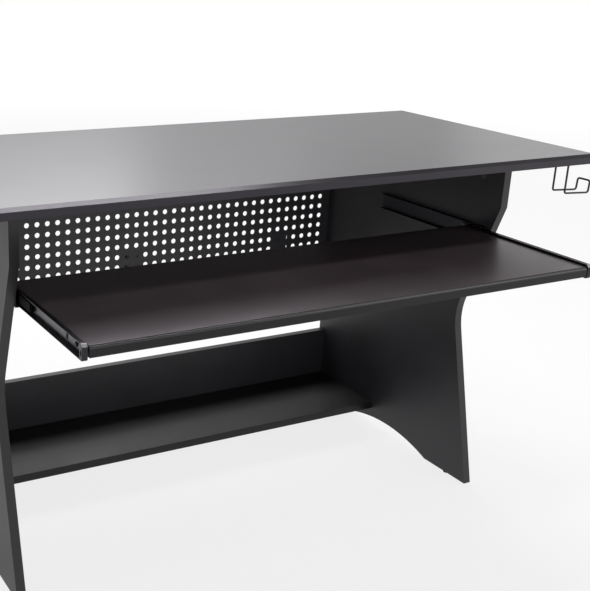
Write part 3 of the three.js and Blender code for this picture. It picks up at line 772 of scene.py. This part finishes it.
def makeCage(side):  # a thin channel with three balls held in windows along each flange
    low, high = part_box("ball_cage_" + side)
    sign = sides[side]
    inset = cage["ballOut"]
    shell = addBox("cage_channel", low + inset * zAxis, high - inset * zAxis)
    pickFaces(shell, lambda middle, normal: abs(normal.y) > facing or normal.x * sign < -facing)
    bpy.ops.mesh.delete(type="FACE")
    objectMode()
    wall = shell.modifiers.new("cage steel", "SOLIDIFY")
    wall.thickness = cage["steel"]
    wall.offset = -1
    bpy.ops.object.modifier_apply(modifier=wall.name)
    middleY = (low.y + high.y) / 2
    ballX = sign * (innerHalf - cage["ballLine"])
    ballYs = [middleY + i * cage["ballGap"] for i in (-1, 0, 1)]
    for ballY in ballYs:
        start = (ballX, ballY, low.z - overrun)
        length = high.z - low.z + 2 * overrun
        cutWith(shell, addRod("ball_window", start, zAxis, length, cage["window"], holeSides))
    for i in (-0.5, 0.5):
        slotY = middleY + i * cage["ballGap"]
        half = Vector((cage["slotWidth"], cage["slotLength"], cage["slotHeight"])) / 2
        middle = Vector((sign * (innerHalf - cage["slotMiddle"]), slotY, slideZ))
        slot = addBox("cage_slot", middle - half, middle + half)
        pickEdges(slot, lambda first, second: abs(first.x - second.x) > near)
        roundPicked(cage["slotCorner"], cage["slotSteps"])
        cutWith(shell, slot)
    smoothFaces(shell)
    finishWith(shell, zincPlate)
    balls = []
    for ballY in ballYs:
        for way in (-1, 1):
            deselectAll()
            bpy.ops.mesh.primitive_uv_sphere_add(
                segments=cage["ballSides"], ring_count=cage["ballRings"], radius=cage["ball"] / 2,
                location=(ballX, ballY, slideZ + way * cage["ballRise"]))
            ball = bpy.context.object
            placeMesh(ball)
            bpy.ops.object.shade_smooth()
            finishWith(ball, trackSteel)
            balls.append(ball)
    return joinPieces([shell, *balls], f"ball_cage_{side}_with_balls")


for side, sign in sides.items():
    outer = copyNode("slide_outer_" + side, f"slide_outer_{side}_channel")
    roundEdges(outer, slides["foldRadius"], slides["foldSteps"])
    # a darker copy of the slide steel, as painted shade
    finishWith(outer, outerShadeSteel)
    fit(outer, "slide_steel", "desk", "slide_outer_" + side)
    inner = makeInnerMember(side)
    fit(inner, "slide_steel", "tray", "slide_inner_" + side)
    stop = copyNode("slide_stop_" + side, f"slide_stop_{side}_block")
    roundEdges(stop, slides["stopEdge"], slides["stopSteps"])
    finishWith(stop, blackNylon)
    fit(stop, "black_plastic", "tray", "slide_stop_" + side)
    ballCage = makeCage(side)
    fit(ballCage, "zinc", "cage_" + side, "ball_cage_" + side)
print("slides made")

# Screws, modelled once along +Z with the underside of the head at the origin, and copied to
# their places. The rivets that hold the rear plates are moulded, with a dimple in the head.
screwKinds = {
    "slide_screw": {"head": 7.2 * mm, "headHeight": 0.8 * mm, "shank": 4 * mm, "length": 12 * mm,
                    "crown": 0.45 * mm, "recess": 0.45 * mm, "finish": blackZinc,
                    "slot": "slide_steel", "body": "desk"},
    "tray_screw": {"head": 8 * mm, "headHeight": 2 * mm, "shank": 4 * mm, "length": 20 * mm,
                   "crown": 1.3 * mm, "recess": 1.1 * mm, "finish": blackZinc,
                   "slot": "zinc", "body": "tray"},
    "sheet_screw": {"head": 8 * mm, "headHeight": 2.2 * mm, "shank": 4 * mm, "length": 25 * mm,
                    "crown": 1.4 * mm, "recess": 1.2 * mm, "finish": nickelPlate,
                    "slot": "nickel", "body": "desk"},
    "rear_plate_bolt": {"head": 17 * mm, "headHeight": 2.5 * mm, "shank": 5 * mm, "length": 6.1 * mm,
                        "crown": 1.8 * mm, "recess": 0, "finish": blackNylon,
                        "slot": "black_plastic", "body": "desk"},
}
recesses = {  # widths as shares of the head or of the cross, ends as shares of the mouth
    "cross": 0.52, "blade": 0.15, "bladeEnd": (0.4, 0.8, 1),
    "dimpleRim": 0.16, "dimpleEnd": (0.7, 0.7, 1), "dimpleDepth": 0.7 * mm,
}
screwPoint = (0.15, 0.15, 1)  # the width of a screw's point as a share of its shank
crown = {"steps": 5, "flatFrom": 0.05 * mm}  # its top counts as flat down to this depth


def cutCross(piece, faceZ, size, depth):  # a cross recess that narrows inwards
    for turn in (0, 90):
        half = Vector((size / 2, size * recesses["blade"], depth))
        blade = addBox("cross_blade", -half, half)
        pickFaces(blade, lambda middle, normal: normal.z > facing)
        bpy.ops.transform.resize(value=recesses["bladeEnd"], center_override=(0, 0, 0))
        objectMode()
        turned = Matrix.Rotation(math.radians(turn), 4, "Z")
        blade.data.transform(Matrix.Translation((0, 0, faceZ)) @ turned)
        cutWith(piece, blade)


def makeScrew(name, look):
    top = -look["headHeight"]
    screw = addRod(name, (0, 0, 0), -zAxis, look["headHeight"], look["head"], screwSides)
    pickFaces(screw, lambda middle, normal: normal.z > facing)
    bpy.ops.mesh.inset(thickness=(look["head"] - look["shank"]) / 2)
    tip = look["shank"] / 2
    bpy.ops.mesh.extrude_region_move(TRANSFORM_OT_translate={"value": (0, 0, look["length"] - tip)})
    bpy.ops.mesh.extrude_region_move(TRANSFORM_OT_translate={"value": (0, 0, tip)})
    bpy.ops.transform.resize(value=screwPoint, center_override=(0, 0, look["length"]))
    objectMode()
    pickEdgesAt(screw, lambda spot: spot.z < top + tiny)
    roundPicked(look["crown"], crown["steps"])
    if look["recess"]:
        cutCross(screw, top, look["head"] * recesses["cross"], look["recess"])
    else:
        sink = (0, 0, recesses["dimpleDepth"])
        flatZ = top + crown["flatFrom"]
        pickFaces(screw, lambda middle, normal: normal.z < -facing and middle.z < flatZ)
        bpy.ops.mesh.inset(thickness=look["head"] * recesses["dimpleRim"])
        bpy.ops.mesh.extrude_region_move(TRANSFORM_OT_translate={"value": sink})
        bpy.ops.transform.resize(value=recesses["dimpleEnd"], center_override=(0, 0, 0))
        objectMode()
    smoothFaces(screw, turnedSmooth)
    finishWith(screw, look["finish"])
    return screw


def seatOf(nodeName, axis, length):  # the underside of a packed screw's head
    low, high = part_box(nodeName)
    reach = abs((high - low).dot(axis)) / 2
    return (low + high) / 2 + axis * (reach - length)


screwPlaces = {"slide_screw": {}, "tray_screw": {}, "sheet_screw": {}, "rear_plate_bolt": {}}
for side, sign in sides.items():
    for end in ends:
        screwPlaces["slide_screw"][f"slide_screw_{end}_{side}"] = xAxis * sign
        screwPlaces["tray_screw"][f"tray_screw_{end}_{side}"] = -xAxis * sign
    for level in levels:
        screwPlaces["sheet_screw"][f"sheet_screw_{level}_{side}"] = -yAxis
    screwPlaces["rear_plate_bolt"]["rear_plate_bolt_" + side] = yAxis
for kind, places in screwPlaces.items():
    look = screwKinds[kind]
    model = makeScrew(kind, look)
    for nodeName, axis in places.items():
        seat = seatOf(nodeName, axis, look["length"])
        copy = copyMoved(model, nodeName + "_part", placeAlong(seat, axis))
        fit(copy, look["slot"], look["body"], nodeName)
    bpy.data.objects.remove(model)
print("screws made")

# Cam discs: die cast, with a sunk face, a cross recess, and the side bore that takes the bolt
camDisc = {"diameter": 15 * mm, "depth": 11.7 * mm, "rim": 1.5 * mm, "sunk": 0.5 * mm,
           "chamfer": 0.35 * mm, "chamferSteps": 2, "cross": 7.5 * mm, "crossDepth": 2.4 * mm,
           "bore": 8 * mm}


def makeCamDisc(size):
    disc = addRod("cam_disc", (0, 0, 0), zAxis, size["depth"], size["diameter"], discSides)
    pickFaces(disc, lambda middle, normal: normal.z < -facing)
    bpy.ops.mesh.inset(thickness=size["rim"])
    bpy.ops.mesh.extrude_region_move(TRANSFORM_OT_translate={"value": (0, 0, size["sunk"])})
    objectMode()
    outline = size["diameter"] / 2 - near
    pickEdgesAt(disc, lambda spot: spot.z < tiny and math.hypot(spot.x, spot.y) > outline)
    roundPicked(size["chamfer"], size["chamferSteps"])
    cutCross(disc, size["sunk"], size["cross"], size["crossDepth"])
    width = size["diameter"]
    start = (-width, 0, size["depth"] / 2)
    cutWith(disc, addRod("bolt_bore", start, xAxis, width * 2, size["bore"], screwSides))
    smoothFaces(disc, turnedSmooth)
    finishWith(disc, zamakCast)
    return disc


camModel = makeCamDisc(camDisc)
for side, sign in sides.items():
    camPlaces = {  # the way into the board, and the way the bolt runs
        "desktop_cam_disc_front_" + side: (xAxis * sign, zAxis),
        "desktop_cam_disc_rear_" + side: (xAxis * sign, zAxis),
        "stretcher_cam_disc_" + side: (-yAxis, xAxis * sign),
        "shelf_cam_disc_" + side: (zAxis, xAxis * sign),
    }
    for nodeName, (inwards, boltWay) in camPlaces.items():
        face = seatOf(nodeName, inwards, camDisc["depth"])
        copy = copyMoved(camModel, nodeName + "_part", placeAlong(face, inwards, boltWay))
        fit(copy, "zinc", "desk", nodeName)
bpy.data.objects.remove(camModel)
print("cam discs made")

# Foot glides: moulded, with a round tread and the head of a nail sunk in it
glide = {"edge": 1.6 * mm, "edgeSteps": 5, "rim": 3.4 * mm, "sunk": 1.3 * mm,
         "nailGap": 0.5 * mm, "nailHead": 0.5 * mm, "nailRadius": 1 * mm, "nailBand": 0.3 * mm,
         "fillet": 0.2 * mm, "filletSteps": 2}


def makeGlide(nodeName, size):
    low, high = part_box(nodeName)
    middle = (low + high) / 2
    start, height = (middle.x, middle.y, low.z), high.z - low.z
    foot = addRod(nodeName + "_tread", start, zAxis, height, high.x - low.x, discSides)
    pickEdgesAt(foot, lambda spot: spot.z < low.z + tiny)
    roundPicked(size["edge"], size["edgeSteps"])
    pickFaces(foot, lambda spot, normal: normal.z < -facing and spot.z < low.z + tiny)
    bpy.ops.mesh.inset(thickness=size["rim"] - size["edge"])
    bpy.ops.mesh.extrude_region_move(TRANSFORM_OT_translate={"value": (0, 0, size["sunk"])})
    bpy.ops.mesh.inset(thickness=size["nailGap"])
    bpy.ops.mesh.extrude_region_move(TRANSFORM_OT_translate={"value": (0, 0, -size["nailHead"])})
    objectMode()
    roundEdges(foot, size["fillet"], size["filletSteps"])
    finishWith(foot, blackNylon, nickelPlate)
    nailZ = low.z + size["sunk"] - size["nailHead"]
    coverFaces(foot, 1, lambda spot, normal: (
        normal.z < -facing and abs(spot.z - nailZ) < size["nailBand"]
        and math.hypot(spot.x - middle.x, spot.y - middle.y) < size["nailRadius"]))
    return foot


for side in sides:
    for end in ends:
        nodeName = f"foot_glide_{end}_{side}"
        foot = makeGlide(nodeName, glide)
        fit(foot, "black_plastic", "desk", nodeName)
print("glides made")

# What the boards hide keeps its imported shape: cam bolts and dowels
for nodeName, node in frame["nodes"].items():
    if not node.hide_render:
        for holder in node.material_slots:
            holder.material = beechWood if "dowel" in nodeName else nickelPlate
print("hidden fittings finished")

# Floor, light and camera
studio = {
    "floorSize": 30, "floorDark": "#f6f6f6", "floorLight": "#fcfcfc", "floorGlow": 0.8,
    "whiteFrom": 2.5, "whiteAt": 6.0, "horizonLight": 0.9, "ceilingLight": 0.04,
    "ceilingFrom": 0.3, "ceilingAt": 0.85,
}
softboxes = {  # place, what it points at, width and height, and power in watts
    "overhead softbox": ((0.38, 0.16, 2.6), (0.38, 0.1, 0.7), (1.36, 0.3), 20),
    "high rear softbox": ((0.5, 2.2, 2.6), (0.3, -0.3, 0.6), (2.6, 1.2), 46),
    "rear softbox": ((0.66, 2.9, 2.3), (0.66, 0, 0.75), (1.2, 0.9), 16),
    "far right softbox": ((4.15, 2.9, 2.0), (4.15, 0, 0.75), (1.5, 1.1), 3.5),
    "front softbox": ((2.6, -2.6, 1.5), (0.5, 0, 0.6), (2.0, 1.4), 10),
    "front strip softbox": ((1.55, -1.25, 2.5), (1.55, -0.4, 0.6), (2.6, 0.15), 5),
}


cameraView = {  # a long lens, near the left end of the desk and looking right, down and past it
    "place": (-1.0952, -1.7804, 1.1603), "right": (0.88855, -0.45816, 0.02391),
    "up": (0.1318, 0.3049, 0.9432), "ahead": (0.43943, 0.83496, -0.33128),
    "sensor": 36, "lens": 64.40, "shift": (0.2227, 0.0289), "farEnd": 60,
}


# The floor glows white for the camera and in reflections, and a little less near the object,
# where it keeps the object's shadow.
def makeFloor():
    material, place = startMaterial("pale studio floor")
    grain = addNode(material, "ShaderNodeTexNoise", {"Scale": 12.0, "Detail": 2.0}, {"Vector": place})
    colour = addNode(material, "ShaderNodeMix",
                     {"data_type": "RGBA", 6: linearColour(studio["floorDark"]),
                      7: linearColour(studio["floorLight"])},
                     {0: grain.outputs["Fac"]})
    matt = addNode(material, "ShaderNodeBsdfDiffuse", {}, {"Color": colour.outputs[2]})
    glow = addNode(material, "ShaderNodeEmission", {"Color": (1, 1, 1, 1), "Strength": 1.0})
    path = addNode(material, "ShaderNodeLightPath")
    glossy = addNode(material, "ShaderNodeMath", {"operation": "MAXIMUM"},
                     {0: path.outputs["Is Camera Ray"], 1: path.outputs["Is Glossy Ray"]})
    seen = addNode(material, "ShaderNodeMath", {"operation": "MAXIMUM"},
                   {0: glossy.outputs[0], 1: path.outputs["Is Transmission Ray"]})
    away = addNode(material, "ShaderNodeVectorMath", {"operation": "LENGTH"}, {0: place})
    fade = addNode(material, "ShaderNodeMapRange",
                   {"From Min": studio["whiteFrom"], "From Max": studio["whiteAt"],
                    "To Min": studio["floorGlow"], "To Max": 1.0},
                   {"Value": away.outputs["Value"]})
    share = addNode(material, "ShaderNodeMath", {"operation": "MULTIPLY"},
                    {0: seen.outputs[0], 1: fade.outputs["Result"]})
    both = addNode(material, "ShaderNodeMixShader", {}, {0: share.outputs[0], 1: matt.outputs[0],
                                                         2: glow.outputs[0]})
    endMaterial(material, both)
    deselectAll()
    bpy.ops.mesh.primitive_plane_add(size=studio["floorSize"], location=(0, 0, 0))
    floor = bpy.context.object
    floor.name = "floor"
    floor.data.materials.append(material)


def makeWorld():
    world = bpy.data.worlds.new("white studio")
    bpy.context.scene.world = world
    world.use_nodes = True
    world.node_tree.nodes.clear()
    path = addNode(world, "ShaderNodeLightPath")
    way = addNode(world, "ShaderNodeTexCoord")
    parts = addNode(world, "ShaderNodeSeparateXYZ", {}, {0: way.outputs["Generated"]})
    fall = addNode(world, "ShaderNodeMapRange",
                   {"From Min": studio["ceilingFrom"], "From Max": studio["ceilingAt"],
                    "To Min": studio["horizonLight"], "To Max": studio["ceilingLight"]},
                   {"Value": parts.outputs["Z"]})
    room = addNode(world, "ShaderNodeBackground", {"Color": (1, 1, 1, 1)},
                   {"Strength": fall.outputs["Result"]})
    white = addNode(world, "ShaderNodeBackground", {"Color": (1, 1, 1, 1), "Strength": 1.0})
    both = addNode(world, "ShaderNodeMixShader", {},
                   {0: path.outputs["Is Camera Ray"], 1: room.outputs[0], 2: white.outputs[0]})
    addNode(world, "ShaderNodeOutputWorld", links={"Surface": both.outputs[0]})


def addSoftbox(name, place, target, size, power):
    place, target = Vector(place), Vector(target)
    deselectAll()
    bpy.ops.object.light_add(type="AREA", location=place)
    light = bpy.context.object
    light.name = name
    light.rotation_euler = (target - place).to_track_quat("-Z", "Y").to_euler()
    light.data.shape = "RECTANGLE"
    light.data.size = size[0]
    light.data.size_y = size[1]
    light.data.energy = power
    light.visible_camera = False


def addCamera():
    camera = bpy.data.objects.new("camera", bpy.data.cameras.new("camera"))
    bpy.context.scene.collection.objects.link(camera)
    rows = (Vector(cameraView["right"]), Vector(cameraView["up"]), -Vector(cameraView["ahead"]))
    turn = Matrix(rows).transposed().to_4x4()
    camera.matrix_world = Matrix.Translation(cameraView["place"]) @ turn
    camera.data.sensor_width = cameraView["sensor"]
    camera.data.lens = cameraView["lens"]
    camera.data.shift_x, camera.data.shift_y = cameraView["shift"]
    camera.data.clip_end = cameraView["farEnd"]
    bpy.context.scene.camera = camera


makeFloor()
makeWorld()
for name, (place, target, size, power) in softboxes.items():
    addSoftbox(name, place, target, size, power)
addCamera()
bpy.context.scene.view_settings.view_transform = "Standard"
print("floor, light and camera made")
